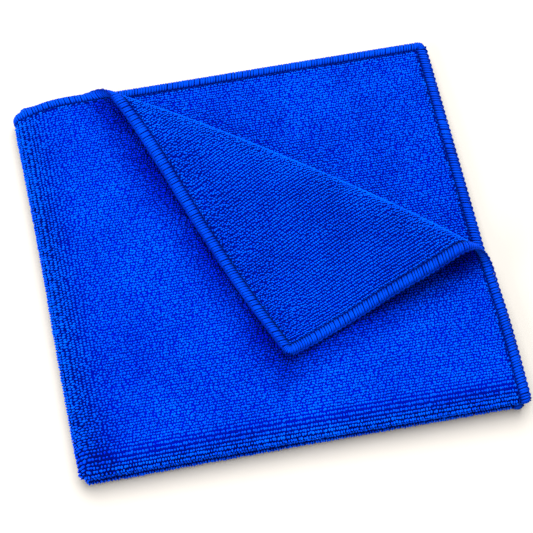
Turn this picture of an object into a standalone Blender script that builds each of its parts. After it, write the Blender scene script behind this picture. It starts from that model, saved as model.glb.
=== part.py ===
"""A microfibre cleaning cloth, folded in quarters, with one corner of the top layer turned back.

The cloth is one sheet with a thick overlocked rim. It is drawn flat, as a pattern of faces
with cross-folds u (left to right) and v (front to back), and then carried through
1. the fold along the near edge, where v changes sign,
2. the fold along the left edge, where u changes sign,
3. the turned-back corner of the top layer, a loose cone whose rulings leave one point.
Everything is in metres, +Z up, and the cloth lies on z = 0 with its middle over the origin.
"""
from math import atan2, comb, cos, hypot, pi, radians, sin, sqrt

import bmesh
import bpy
import numpy as np

# ---- driving sizes -------------------------------------------------------------------
FOLDED_WIDTH = 0.200          # left fold to the free right edge
FOLDED_DEPTH = 0.187          # near fold to the free back edge
THICKNESS = 0.0022            # the looped fabric, lightly pressed
RIM_HALF = 0.00135            # half thickness at the crown of the overlocked rim
RIM_PRESSED = 0.005           # the rim is pressed thinner over this stretch of a fold
PAIR_RADIUS = 0.00165         # near fold: from its middle to the fabric's middle
STACK_RADIUS = 0.0033         # left fold: from its middle to the middle of a pair of layers

PAIR_MIDDLE = PAIR_RADIUS + THICKNESS / 2             # near fold's middle, from the near edge
STACK_MIDDLE = STACK_RADIUS + PAIR_MIDDLE             # left fold's middle, from the left edge
HEIGHT = 2 * STACK_MIDDLE                             # the four layers
TOP_LEVEL = HEIGHT - THICKNESS / 2                    # the middle of the top layer
HALF_WIDTH = FOLDED_WIDTH - STACK_MIDDLE + pi / 2 * STACK_RADIUS     # of the cloth laid flat
HALF_DEPTH = FOLDED_DEPTH - PAIR_MIDDLE + pi / 2 * PAIR_RADIUS

# The rim's section, in from the cut edge: a bead of thread, the stitch groove, the fabric.
RIM_SECTION = (
    # from the edge, half thickness
    (0.0000, 0.00000),
    (0.0003, 0.00080),
    (0.0009, 0.00120),
    (0.0020, RIM_HALF),
    (0.0033, 0.00125),
    (0.0042, 0.00085),
    (0.0052, 0.00100),
    (0.0068, THICKNESS / 2),
)

# How far each layer's free edges fall short of the folded size.
LAYER_SHORT = {
    # layer: (at the right, at the back)
    "top": (-0.0010, 0.0014),
    "second": (0.0004, 0.0009),
    "third": (0.0022, 0.0010),
    "bottom": (0.0008, 0.0025),
}
SHORT_BLEND = 0.040           # they pass from layer to layer over this stretch beside a fold
LOWER_PAIR_BACK = 0.0004      # the lower pair's near fold lies back by this at the right end
CORNER_RADIUS = 0.0028        # the cloth's own corners, as cut

# ---- the turned-back corner ----------------------------------------------------------
CREST_LEFT = 0.042            # where its fold meets the back edge, from the left fold
CREST_RIGHT = 0.078           # where its fold meets the right edge, from the near fold
LOOP_RADIUS_LEFT = 0.0030
LOOP_RADIUS_RIGHT = 0.0084
LOOP_TURN = radians(196)      # turn of the fold itself
LANDING_TURN = radians(34)    # turn the other way, where the flap comes to lie
LANDING_PLACE = 0.71          # share of the fan's angle
LANDING_SPREAD = radians(6.9)
LOOP_FLAT = 0.6               # share of the loop that is bent evenly
LOOP_SHARE = 0.575            # half the loop's angle in the fan, in turns of its left radius
LOOP_START = -1.9             # where the layer leaves the stack, in half loops
LOOP_LINES = 1.45             # the pattern is cut closely out to here, in half loops
FLAP_GAP = 0.0004             # least room between the flap and the layer it lies on
FLAP_SOFTNESS = 0.0007        # how gently it comes down to that
FAN_STEPS = 400               # steps along the fan when it is worked out
FAN_SPARE = 0.03              # the fan goes on past the cloth's corner by this angle
PAST_CREST = 0.4              # the flap starts to rest from here on, in half loops
STATION_LIMITS = (-0.05, 1.1)

# How the corner departs from a plain cone, at four stations from left to right.
CORNER_EASE = (
    # crest out, crest up, crest along, tip out, tip up, tip along
    (0.0010, -0.0025, -0.0012, -0.0035, -0.0004, -0.0010),
    (0.0055, 0.0045, 0.0000, -0.0012, 0.0006, 0.0008),
    (0.0030, 0.0055, 0.0000, -0.0056, -0.0034, 0.0016),
    (-0.0065, -0.0018, 0.0018, 0.0045, -0.0080, 0.0010),
)

# ---- unevenness ----------------------------------------------------------------------
EDGE_DRAW = 0.0040            # the back edge is drawn in where it turns round the left fold
EDGE_DRAW_WIDTH = 0.012
EDGE_DRAW_REACH = 0.045
FOLD_DRAW = 0.0004            # and the left fold is drawn in beside it
FOLD_DRAW_WIDTH = 0.010
FOLD_DRAW_REACH = 0.016
TUCK_DEPTH = 0.0013           # small tuck where the two folds meet
TUCK_WIDTH = 0.0020
TUCK_LENGTH = 0.009
SWELL = 0.025                 # share by which the stack's height varies
SWELL_WIDTH = 0.170
SWELL_DEPTH = 0.150
SWELL_PHASES = (0.6, 1.1)
INNER_DRAW = 0.4              # share of the draw that the two inner layers take
SPREAD_START = 0.060          # towards the right end the stack spreads forward and back
SPREAD_REACH = 0.160
SPREAD_NEAR = 0.0014
SPREAD_BACK = 0.0013
RIM_BULGE = 0.0005            # the stiff rim stands out where it turns round the near fold
RIM_BULGE_WIDTH = 0.005
RIM_BULGE_REACH = 0.008
LEFT_BOW = 0.0007             # the left fold bows in a little between its ends
LEFT_BOW_PLACE = 0.120
LEFT_BOW_REACH = 0.090
LEFT_BOW_WIDTH = 0.025

# ---- spacing of the pattern's lines --------------------------------------------------
ROLL_STEPS_LEFT = 10
ROLL_STEPS_NEAR = 8
WIDE_SPACING = 0.030
LOOP_STEPS = 14
FLAP_STEPS = 9
SHARP_ANGLE = radians(50)     # folds of the surface beyond this are shaded as creases

FABRIC_BLUE = (0.0, 0.05, 0.80, 1.0)
FABRIC_ROUGHNESS = 0.9


def smooth(x):
    """0 below 0, 1 above 1, and an S-shaped rise between."""
    x = np.clip(x, 0.0, 1.0)
    return x * x * (3 - 2 * x)


def bump(x):
    """A cosine bell between -1 and 1, with an area of 1."""
    return 0.5 * (1 + np.cos(pi * np.clip(x, -1.0, 1.0)))


def flat_top(x):
    """1 within the loop's evenly bent share, falling to 0, with an area of 2."""
    fall = (np.abs(x) - LOOP_FLAT) / (2 * (1 - LOOP_FLAT))
    return 0.5 * (1 + np.cos(pi * np.clip(fall, 0.0, 1.0)))


class CornerFan:
    """The turned-back corner as a fan of straight rulings that leave one point.

    The fan's angle is measured in the flat layer from the line of the fold. Each ruling is
    turned in space by the curvature that the fold and the landing give at its angle, so the
    layer is bent and not stretched.
    """

    def __init__(self):
        left = np.array([CREST_LEFT, FOLDED_DEPTH])
        right = np.array([FOLDED_WIDTH, CREST_RIGHT])
        self.length = hypot(*(right - left))
        self.along = (right - left) / self.length
        self.out = np.array([-self.along[1], self.along[0]])
        self.near = self.length * LOOP_RADIUS_LEFT / (LOOP_RADIUS_RIGHT - LOOP_RADIUS_LEFT)
        self.point = left - self.near * self.along
        self.loop = LOOP_SHARE * LOOP_RADIUS_LEFT * LOOP_TURN / self.near
        self.start = LOOP_START * self.loop
        tip = np.array([FOLDED_WIDTH, FOLDED_DEPTH]) - self.point
        self.end = atan2(tip @ self.out, tip @ self.along)
        self.angle = np.linspace(self.start, self.end + FAN_SPARE, FAN_STEPS)
        self.rulings, self.normals = self.turned()
        self.ease = np.array(CORNER_EASE)

    def curvature(self):
        fold = LOOP_TURN / (2 * self.loop) * flat_top(self.angle / self.loop)
        place = (self.angle - LANDING_PLACE * self.end) / LANDING_SPREAD
        return fold - LANDING_TURN / LANDING_SPREAD * bump(place)

    def turned(self):
        """Directions and normals of the rulings, turned step by step."""
        step = self.angle[1] - self.angle[0]
        curvature = self.curvature()
        along, out = np.append(self.along, 0.0), np.append(self.out, 0.0)
        frame = np.array([
            cos(self.start) * along + sin(self.start) * out,
            cos(self.start) * out - sin(self.start) * along,
            (0.0, 0.0, 1.0),
        ])
        frames = [frame]
        for bend in (curvature[1:] + curvature[:-1]) / 2 * step:
            turn = np.array([[0, step, 0], [-step, 0, bend], [0, -bend, 0]])
            size = hypot(step, bend)
            change = sin(size) / size * turn + (1 - cos(size)) / size ** 2 * turn @ turn
            frame = frame + change @ frame
            frames.append(frame)
        frames = np.array(frames)
        return frames[:, 0], frames[:, 2]

    def place(self, x, y, offset):
        """Points of the top layer at (x, y), moved off its middle by offset."""
        dx, dy = x - self.point[0], y - self.point[1]
        along = dx * self.along[0] + dy * self.along[1]
        out = dx * self.out[0] + dy * self.out[1]
        reach, angle = np.hypot(along, out), np.arctan2(out, along)
        inside = np.clip(angle, self.start, self.angle[-1])
        ruling = np.stack([np.interp(inside, self.angle, c) for c in self.rulings.T], -1)
        normal = np.stack([np.interp(inside, self.angle, c) for c in self.normals.T], -1)
        placed = reach[:, None] * ruling
        placed += (*self.point, TOP_LEVEL)
        station = np.clip((along - self.near) / self.length, *STATION_LIMITS)
        share = np.stack([comb(3, i) * station ** i * (1 - station) ** (3 - i) for i in range(4)], -1)
        ease = share @ self.ease
        crest = smooth((angle - self.start) / (2 * self.loop - self.start))
        tip = smooth((angle - self.loop) / (self.end - self.loop))
        shift_out = ease[:, 0] * crest * (1 - tip) + ease[:, 3] * tip
        shift_up = ease[:, 1] * crest * (1 - tip) + ease[:, 4] * tip
        shift_along = ease[:, 2] * crest * (1 - tip) + ease[:, 5] * tip
        placed[:, 0] += shift_out * self.out[0] + shift_along * self.along[0]
        placed[:, 1] += shift_out * self.out[1] + shift_along * self.along[1]
        placed[:, 2] += shift_up
        # past the crest the flap rests softly on the layer below it
        floor = TOP_LEVEL + THICKNESS / 2 + RIM_HALF + FLAP_GAP
        above = (placed[:, 2] - floor) / FLAP_SOFTNESS
        rested = floor + FLAP_SOFTNESS * np.logaddexp(0.0, above)
        past_crest = smooth(angle / self.loop - PAST_CREST)
        placed[:, 2] += (rested - placed[:, 2]) * past_crest
        return placed + offset[:, None] * normal, angle > self.start


def fold(u, v, offset, fan):
    """Carries the flat cloth's points, offset from its middle, to their folded places."""
    u, v = rounded_corners(u, v)
    # the near fold: two layers side by side, v < 0 inside and v > 0 outside
    turn = np.clip(v / PAIR_RADIUS, -pi / 2, pi / 2)
    run = np.maximum(np.abs(v) - pi / 2 * PAIR_RADIUS, 0.0)
    y = PAIR_MIDDLE - (PAIR_RADIUS + offset) * np.cos(turn) + run
    side = (PAIR_RADIUS + offset) * np.sin(turn)
    # the left fold: the pair is bent as one, u < 0 below and u > 0 above
    bend = np.clip(u / STACK_RADIUS, -pi / 2, pi / 2)
    reach = np.maximum(np.abs(u) - pi / 2 * STACK_RADIUS, 0.0)
    x = STACK_MIDDLE - (STACK_RADIUS + side) * np.cos(bend) + reach
    z = STACK_MIDDLE + (STACK_RADIUS + side) * np.sin(bend)
    # the free edges of the four layers don't quite meet
    upper, outer = u > 0, v > 0
    short_x, short_y = shortfall(u, v)
    x = x - short_x * smooth((STACK_MIDDLE + reach) / FOLDED_WIDTH) ** 2
    y = y - short_y * smooth((PAIR_MIDDLE + run) / FOLDED_DEPTH) ** 2
    # the lower pair's near fold lies a little further back
    y = y + np.where(upper, 0.0, LOWER_PAIR_BACK) * smooth(reach / FOLDED_WIDTH)
    # towards the right end the stack spreads
    spread = smooth((x - SPREAD_START) / SPREAD_REACH)
    forward = SPREAD_NEAR * smooth(1 - 2 * y / FOLDED_DEPTH)
    backward = SPREAD_BACK * smooth(2 * y / FOLDED_DEPTH - 1)
    y = y + spread * (backward - forward)
    # the stiff rim at the near fold, and the bow of the left fold
    stiff = smooth(1 - (HALF_WIDTH - np.abs(u)) / RIM_BULGE_REACH)
    y = y - RIM_BULGE * stiff * np.exp(-(v / RIM_BULGE_WIDTH) ** 2)
    bow = LEFT_BOW * bump((y - LEFT_BOW_PLACE) / LEFT_BOW_REACH)
    x = x + bow * np.exp(-(u / LEFT_BOW_WIDTH) ** 2)
    # the back edge is drawn in round the left fold, and the fold beside it
    from_back = HALF_DEPTH - np.abs(v)
    draw = EDGE_DRAW * np.exp(-(u / EDGE_DRAW_WIDTH) ** 2) * np.where(outer, 1.0, INNER_DRAW)
    y = y - draw * smooth(1 - from_back / EDGE_DRAW_REACH)
    x = x + FOLD_DRAW * np.exp(-(u / FOLD_DRAW_WIDTH) ** 2) * smooth(1 - from_back / FOLD_DRAW_REACH)
    points = np.stack([x, y, z], -1)
    # the corner of the top layer
    top = upper & outer & (reach > 0) & (run > 0)
    if top.any():
        placed, turned = fan.place(x[top], y[top], offset[top])
        points[top] = np.where(turned[:, None], placed, points[top])
    return unevenness(points)


def shortfall(u, v):
    """How far the free edges fall short, passing smoothly from layer to layer at the folds."""
    above = smooth(0.5 + u / (2 * SHORT_BLEND))
    outside = smooth(0.5 + v / (2 * SHORT_BLEND))
    share = {
        "top": above * outside,
        "second": above * (1 - outside),
        "third": (1 - above) * (1 - outside),
        "bottom": (1 - above) * outside,
    }
    return [sum(share[layer] * LAYER_SHORT[layer][i] for layer in share) for i in (0, 1)]


def rounded_corners(u, v):
    """Draws the four corners of the cut cloth in along their diagonals."""
    share_u = np.clip(1 - (HALF_WIDTH - np.abs(u)) / CORNER_RADIUS, 0.0, 1.0)
    share_v = np.clip(1 - (HALF_DEPTH - np.abs(v)) / CORNER_RADIUS, 0.0, 1.0)
    shift = (1 - sqrt(0.5)) * CORNER_RADIUS * (share_u * share_v) ** 2
    return u - np.sign(u) * shift, v - np.sign(v) * shift


def unevenness(points):
    """A tuck where the folds meet, and a slow swell of the stack's height."""
    x, y, z = points.T
    tuck = TUCK_DEPTH * np.exp(-((x - y) / TUCK_WIDTH) ** 2 - ((x + y) / TUCK_LENGTH) ** 2)
    wave_x = np.sin(2 * pi * x / SWELL_WIDTH + SWELL_PHASES[0])
    wave_y = np.cos(2 * pi * y / SWELL_DEPTH + SWELL_PHASES[1])
    swell = 1 + SWELL * wave_x * wave_y
    return np.stack([x + tuck, y + tuck, np.maximum(z * swell, 0.0)], -1)


def lines(half, radius, roll_steps):
    """Places of the pattern's lines from one cut edge to the other, closer where it bends."""
    roll = radius * np.linspace(0, pi / 2, roll_steps // 2 + 1)
    rim = half - np.array([place for place, _ in RIM_SECTION])[::-1]
    count = round((rim[0] - roll[-1]) / WIDE_SPACING)
    between = np.linspace(roll[-1], rim[0], count + 1)[1:-1]
    side = np.concatenate([roll, between, rim])
    return np.concatenate([-side[:0:-1], side])


def flat_pattern(fan):
    """The flat cloth as faces between its lines, cut along the turned corner's rulings."""
    us = lines(HALF_WIDTH, STACK_RADIUS, ROLL_STEPS_LEFT)
    vs = lines(HALF_DEPTH, PAIR_RADIUS, ROLL_STEPS_NEAR)
    bm = bmesh.new()
    grid = [[bm.verts.new((u, v, 0)) for v in vs] for u in us]
    for left, right in zip(grid, grid[1:]):
        for i in range(len(vs) - 1):
            bm.faces.new((left[i], right[i], right[i + 1], left[i + 1]))
    loop_angles = np.linspace(-LOOP_LINES, LOOP_LINES, LOOP_STEPS) * fan.loop
    flap_angles = np.linspace(loop_angles[-1], fan.end, FLAP_STEPS + 1)[1:-1]
    # in the flat cloth the fan's point lies where the folded layer would carry it
    shift_u = HALF_WIDTH - FOLDED_WIDTH
    shift_v = HALF_DEPTH - FOLDED_DEPTH
    point = (fan.point[0] + shift_u, fan.point[1] + shift_v, 0)
    for angle in (fan.start, *loop_angles, *flap_angles):
        along = cos(angle) * fan.along + sin(angle) * fan.out
        faces = [f for f in bm.faces if f.calc_center_median().x > 0 and f.calc_center_median().y > 0]
        geometry = {e for f in faces for e in f.edges} | {v for f in faces for v in f.verts}
        bmesh.ops.bisect_plane(bm, geom=faces + list(geometry), dist=0.00005,
                               plane_co=point, plane_no=(-along[1], along[0], 0))
    bmesh.ops.triangulate(bm, faces=bm.faces[:], quad_method="BEAUTY", ngon_method="BEAUTY")
    bm.verts.ensure_lookup_table()
    points = np.array([v.co[:2] for v in bm.verts])
    faces = np.array([[v.index for v in f.verts] for f in bm.faces])
    bm.free()
    return points, faces


def cloth_mesh():
    """The outer and inner faces of the sheet, joined along its cut edge."""
    fan = CornerFan()
    pattern, faces = flat_pattern(fan)
    u, v = pattern.T
    from_edge = np.minimum(HALF_WIDTH - np.abs(u), HALF_DEPTH - np.abs(v))
    from_edge = np.maximum(from_edge, 0.0)
    places, halves = np.array(RIM_SECTION).T
    half = np.interp(from_edge, places, halves)
    # the bead is pressed back to the fabric's thickness inside the folds
    pressed = np.maximum(np.exp(-(u / RIM_PRESSED) ** 2), np.exp(-(v / RIM_PRESSED) ** 2))
    half -= np.maximum(half - THICKNESS / 2, 0.0) * pressed
    edge = from_edge < 1e-6
    outer = fold(u, v, half, fan)
    inner = fold(u, v, -half, fan)
    count = len(pattern)
    # the cut edge's points are shared by both faces
    inner_index = np.where(edge, np.arange(count), 0)
    inner_index[~edge] = count + np.arange((~edge).sum())
    points = np.concatenate([outer, inner[~edge]])
    other = inner_index[faces][:, ::-1]
    all_faces = np.concatenate([faces, other])
    low, high = points.min(0), points.max(0)
    points -= ((low[0] + high[0]) / 2, (low[1] + high[1]) / 2, low[2])
    mesh = bpy.data.meshes.new("cloth")
    mesh.from_pydata(points.tolist(), [], all_faces.tolist())
    mesh.update()
    print("cloth:", len(points), "points,", len(all_faces), "faces, box", high - low)
    return mesh


def fabric_material():
    """Blue looped microfibre."""
    material = bpy.data.materials.new("blue_microfibre")
    material.use_nodes = True
    shader = material.node_tree.nodes["Principled BSDF"]
    shader.inputs["Base Color"].default_value = FABRIC_BLUE
    shader.inputs["Roughness"].default_value = FABRIC_ROUGHNESS
    shader.inputs["Metallic"].default_value = 0.0
    return material


def main():
    for thing in list(bpy.data.objects):
        bpy.data.objects.remove(thing, do_unlink=True)
    mesh = cloth_mesh()
    mesh.materials.append(fabric_material())
    mesh.shade_smooth()
    mesh.set_sharp_from_angle(angle=SHARP_ANGLE)
    cloth = bpy.data.objects.new("cloth", mesh)
    bpy.context.scene.collection.objects.link(cloth)


main()
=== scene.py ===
# %% [markdown]
# # A folded microfibre cloth
# The cloth is a square of looped, deep blue fabric with an overlocked rim, folded in
# quarters, and one corner of its top layer is turned back. Every visible thing on it is
# something that is knitted or sewn: the ground sheet, thousands of small loops that stand on
# it, and the threads that are wrapped round its edge.
#
# All of it could be sculpted where it lies. It is easier, and truer, to make each thing on
# the cloth as it lies flat, and then carry every point through the same folds that a pair of
# hands would make. So the script needs one good function, `fold`, and the rest are small
# shapes on a flat pattern.

from math import atan2, comb, cos, hypot, pi, radians, sin, sqrt

import bpy
import numpy as np
from mathutils import Matrix, Vector


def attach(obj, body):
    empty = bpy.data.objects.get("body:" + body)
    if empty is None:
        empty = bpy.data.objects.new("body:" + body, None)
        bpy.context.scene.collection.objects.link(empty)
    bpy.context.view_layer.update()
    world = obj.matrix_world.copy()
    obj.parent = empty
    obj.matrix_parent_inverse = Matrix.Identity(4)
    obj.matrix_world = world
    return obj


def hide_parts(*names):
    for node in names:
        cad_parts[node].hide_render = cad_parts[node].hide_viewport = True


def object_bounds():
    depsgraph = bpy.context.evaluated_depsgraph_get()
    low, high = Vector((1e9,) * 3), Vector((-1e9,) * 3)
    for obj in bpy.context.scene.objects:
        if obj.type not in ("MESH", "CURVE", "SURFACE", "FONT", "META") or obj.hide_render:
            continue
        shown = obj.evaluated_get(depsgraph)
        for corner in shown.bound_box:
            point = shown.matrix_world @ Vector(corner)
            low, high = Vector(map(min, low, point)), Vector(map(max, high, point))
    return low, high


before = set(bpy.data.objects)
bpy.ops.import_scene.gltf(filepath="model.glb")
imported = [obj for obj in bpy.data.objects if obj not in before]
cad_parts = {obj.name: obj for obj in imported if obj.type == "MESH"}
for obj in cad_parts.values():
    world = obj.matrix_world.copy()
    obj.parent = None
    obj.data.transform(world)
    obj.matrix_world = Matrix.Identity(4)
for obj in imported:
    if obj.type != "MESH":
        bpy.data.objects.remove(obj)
cad_low, cad_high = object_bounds()

# %% [markdown]
# ## The folds
# A point of the cloth has flat coordinates u (left to right) and v (front to back), and an
# offset from the middle of the fabric. Offsets above zero are on the cloth's outer face,
# which is the one that shows on top and underneath. The front fold is made first, where v
# changes sign, and then the left fold, where u changes sign. These are the sizes and rules
# that the solid was made with, so the fine surface lies where the solid does.

# %% Sizes of the folded cloth
FOLDED_WIDTH = 0.200
FOLDED_DEPTH = 0.187
THICKNESS = 0.0022
RIM_PRESSED = 0.005           # a fold presses the rim thinner this far from it
PAIR_RADIUS = 0.00165         # of the near fold, at the middle of the fabric
STACK_RADIUS = 0.0033         # of the left fold, at the middle of its pair of layers
PAIR_MIDDLE = PAIR_RADIUS + THICKNESS / 2
STACK_MIDDLE = STACK_RADIUS + PAIR_MIDDLE
TOP_LEVEL = 2 * STACK_MIDDLE - THICKNESS / 2
HALF_WIDTH = FOLDED_WIDTH - STACK_MIDDLE + pi / 2 * STACK_RADIUS
HALF_DEPTH = FOLDED_DEPTH - PAIR_MIDDLE + pi / 2 * PAIR_RADIUS
RIM_SECTION = (
    # from the edge, half thickness
    (0.0000, 0.00000),
    (0.0003, 0.00080),
    (0.0009, 0.00120),
    (0.0020, 0.00135),
    (0.0033, 0.00125),
    (0.0042, 0.00085),
    (0.0052, 0.00100),
    (0.0068, THICKNESS / 2),
)
RIM_PLACES, RIM_HALVES = np.array(RIM_SECTION).T
LAYER_SHORT = {
    # layer: (at the right, at the back)
    "top": (-0.0010, 0.0014),
    "second": (0.0004, 0.0009),
    "third": (0.0022, 0.0010),
    "bottom": (0.0008, 0.0025),
}
SHORT_BLEND = 0.040
LOWER_PAIR_BACK = 0.0004
CORNER_RADIUS = 0.0028        # of the cut cloth

# %% Sizes of the turned-back corner
CREST_LEFT = 0.042            # the crest runs from here on the back edge
CREST_RIGHT = 0.078           # to here on the right one
LOOP_RADIUS_LEFT = 0.0030     # and the cloth bends over it with this radius
LOOP_RADIUS_RIGHT = 0.0084
LOOP_TURN = radians(196)      # by this angle
LOOP_FLAT = 0.6
LOOP_SHARE = 0.575
LOOP_START = -1.9
LANDING_TURN = radians(34)    # the flap bends back by this, where it comes down
LANDING_PLACE = 0.71
LANDING_SPREAD = radians(6.9)
FLAP_GAP = 0.0004             # least gap between the flap and the layer below it
FLAP_SOFTNESS = 0.0007
FAN_STEPS = 400
FAN_SPARE = 0.03
STATION_ENDS = (-0.05, 1.1)   # the crest's table is read this far past its two ends
PAST_CREST = 0.4
CORNER_EASE = (
    # crest out, crest up, crest along, tip out, tip up, tip along
    (0.0010, -0.0025, -0.0012, -0.0035, -0.0004, -0.0010),
    (0.0055, 0.0045, 0.0000, -0.0012, 0.0006, 0.0008),
    (0.0030, 0.0055, 0.0000, -0.0056, -0.0034, 0.0016),
    (-0.0065, -0.0018, 0.0018, 0.0045, -0.0080, 0.0010),
)

# %% Sizes of the unevenness
# at its back end the left fold is drawn in, and the edges beside it are too
EDGE_DRAW = 0.0040
EDGE_DRAW_WIDTH = 0.012
EDGE_DRAW_REACH = 0.045
INNER_DRAW = 0.4
FOLD_DRAW = 0.0004
FOLD_DRAW_WIDTH = 0.010
FOLD_DRAW_REACH = 0.016
# the folds tuck in where they meet, and the stack swells and spreads
TUCK_DEPTH = 0.0013
TUCK_WIDTH = 0.0020
TUCK_LENGTH = 0.009
SWELL = 0.025
SWELL_WIDTH = 0.170
SWELL_DEPTH = 0.150
SWELL_PHASES = (0.6, 1.1)
SPREAD_START = 0.060
SPREAD_REACH = 0.160
SPREAD_NEAR = 0.0014
SPREAD_BACK = 0.0013
# the near fold bulges at the rim, and the left one is bowed
RIM_BULGE = 0.0005
RIM_BULGE_WIDTH = 0.005
RIM_BULGE_REACH = 0.008
LEFT_BOW = 0.0007
LEFT_BOW_PLACE = 0.120
LEFT_BOW_REACH = 0.090
LEFT_BOW_WIDTH = 0.025


# %% Small curves that the folds are made of
def smooth(x):
    """0 below 0, 1 above 1, and 3x^2 - 2x^3 between."""
    x = np.clip(x, 0.0, 1.0)
    return x * x * (3 - 2 * x)


def bell(x):
    """Half of 1 + cos(pi x) between -1 and 1, and 0 outside."""
    return 0.5 * (1 + np.cos(pi * np.clip(x, -1.0, 1.0)))


def flat_top(x):
    """1 within the evenly bent share of the loop, and half a cosine down to 0 on each side."""
    fall = (np.abs(x) - LOOP_FLAT) / (2 * (1 - LOOP_FLAT))
    return 0.5 * (1 + np.cos(pi * np.clip(fall, 0.0, 1.0)))


# %% [markdown]
# ## The turned-back corner
# Cloth bends but hardly stretches, so a corner that is turned over makes a piece of a cone:
# straight lines run out from one point beyond the left end of the fold. Turning each line a
# little further than its neighbour, by the bend that the fold has there, keeps every length
# on the cloth as it was.


# %% The fan of straight lines
class CornerFan:
    """The turned corner as straight rulings g(angle) that leave one point.

    Along the fan g' = t, t' = -g + k n and n' = -k t, with k the bend at that angle.
    """

    def __init__(self):
        self.left = np.array([CREST_LEFT, FOLDED_DEPTH])
        self.right = np.array([FOLDED_WIDTH, CREST_RIGHT])
        self.length = hypot(*(self.right - self.left))
        self.along = (self.right - self.left) / self.length
        self.out = np.array([-self.along[1], self.along[0]])
        self.near = self.length * LOOP_RADIUS_LEFT / (LOOP_RADIUS_RIGHT - LOOP_RADIUS_LEFT)
        self.point = self.left - self.near * self.along
        self.loop = LOOP_SHARE * LOOP_RADIUS_LEFT * LOOP_TURN / self.near
        self.start = LOOP_START * self.loop
        tip = np.array([FOLDED_WIDTH, FOLDED_DEPTH]) - self.point
        self.end = atan2(tip @ self.out, tip @ self.along)
        self.angle = np.linspace(self.start, self.end + FAN_SPARE, FAN_STEPS)
        self.frames = self.turned()
        self.ease = np.array(CORNER_EASE)

    def curvature(self):
        fold_bend = LOOP_TURN / (2 * self.loop) * flat_top(self.angle / self.loop)
        place = (self.angle - LANDING_PLACE * self.end) / LANDING_SPREAD
        return fold_bend - LANDING_TURN / LANDING_SPREAD * bell(place)

    def turned(self):
        """Direction and normal of each ruling, six numbers, turned from the one before it."""
        step = self.angle[1] - self.angle[0]
        curvature = self.curvature()
        along, out = np.append(self.along, 0.0), np.append(self.out, 0.0)
        axes = np.array([
            cos(self.start) * along + sin(self.start) * out,
            cos(self.start) * out - sin(self.start) * along,
            (0.0, 0.0, 1.0),
        ])
        frames = [axes]
        for bend in (curvature[1:] + curvature[:-1]) / 2 * step:
            turn = np.array([[0, step, 0], [-step, 0, bend], [0, -bend, 0]])
            size = hypot(step, bend)
            change = sin(size) / size * turn + (1 - cos(size)) / size**2 * turn @ turn
            axes = axes + change @ axes
            frames.append(axes)
        return np.array(frames)[:, [0, 2]].reshape(-1, 6)

    def polar(self, x, y):
        """Distance along the fold's line, distance out from it, and angle in the fan."""
        dx, dy = x - self.point[0], y - self.point[1]
        along = dx * self.along[0] + dy * self.along[1]
        out = dx * self.out[0] + dy * self.out[1]
        return along, out, np.arctan2(out, along)

    def place(self, x, y, offset):
        """Points of the top layer at (x, y), moved off its middle by offset."""
        along, out, angle = self.polar(x, y)
        inside = np.clip(angle, self.start, self.angle[-1])
        columns = [np.interp(inside, self.angle, column) for column in self.frames.T]
        ruling, normal = np.stack(columns[:3], -1), np.stack(columns[3:], -1)
        placed = np.hypot(along, out)[:, None] * ruling
        placed += (*self.point, TOP_LEVEL)
        # soft departures from the plain cone, blended between four stations by Bernstein terms
        station = np.clip((along - self.near) / self.length, *STATION_ENDS)
        terms = [comb(3, i) * station**i * (1 - station) ** (3 - i) for i in range(4)]
        ease = np.stack(terms, -1) @ self.ease
        crest = smooth((angle - self.start) / (2 * self.loop - self.start))
        tip = smooth((angle - self.loop) / (self.end - self.loop))
        departure = ease[:, :3] * (crest * (1 - tip))[:, None] + ease[:, 3:] * tip[:, None]
        placed[:, :2] += departure[:, :1] * self.out + departure[:, 2:] * self.along
        placed[:, 2] += departure[:, 1]
        # past the crest the flap rests softly on the layer below it
        floor = TOP_LEVEL + THICKNESS / 2 + RIM_HALVES.max() + FLAP_GAP
        above = (placed[:, 2] - floor) / FLAP_SOFTNESS
        rested = floor + FLAP_SOFTNESS * np.logaddexp(0.0, above)
        placed[:, 2] += (rested - placed[:, 2]) * smooth(angle / self.loop - PAST_CREST)
        return placed + offset[:, None] * normal, angle > self.start


fan = CornerFan()
print("fan of", round(np.degrees(fan.end - fan.start)), "degrees")


# %% Rules for the free edges, the cut corners and the stack's unevenness
def shortfall(u, v):
    """How far the free edges fall short, passing smoothly from layer to layer at the folds."""
    above = smooth(0.5 + u / (2 * SHORT_BLEND))
    outside = smooth(0.5 + v / (2 * SHORT_BLEND))
    share = {
        "top": above * outside,
        "second": above * (1 - outside),
        "third": (1 - above) * (1 - outside),
        "bottom": (1 - above) * outside,
    }
    return [sum(share[layer] * LAYER_SHORT[layer][i] for layer in share) for i in (0, 1)]


def rounded_corners(u, v):
    """Draws the four corners of the cut cloth in along their diagonals."""
    share_u = np.clip(1 - (HALF_WIDTH - np.abs(u)) / CORNER_RADIUS, 0.0, 1.0)
    share_v = np.clip(1 - (HALF_DEPTH - np.abs(v)) / CORNER_RADIUS, 0.0, 1.0)
    shift = (1 - sqrt(0.5)) * CORNER_RADIUS * (share_u * share_v) ** 2
    return u - np.sign(u) * shift, v - np.sign(v) * shift


def unevenness(points):
    """A tuck where the folds meet, and a slow swell of the stack's height."""
    x, y, z = points.T
    tuck = TUCK_DEPTH * np.exp(-(((x - y) / TUCK_WIDTH) ** 2) - ((x + y) / TUCK_LENGTH) ** 2)
    wave_x = np.sin(2 * pi * x / SWELL_WIDTH + SWELL_PHASES[0])
    wave_y = np.cos(2 * pi * y / SWELL_DEPTH + SWELL_PHASES[1])
    height = np.maximum(z * (1 + SWELL * wave_x * wave_y), 0.0)
    return np.stack([x + tuck, y + tuck, height], -1)


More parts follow.
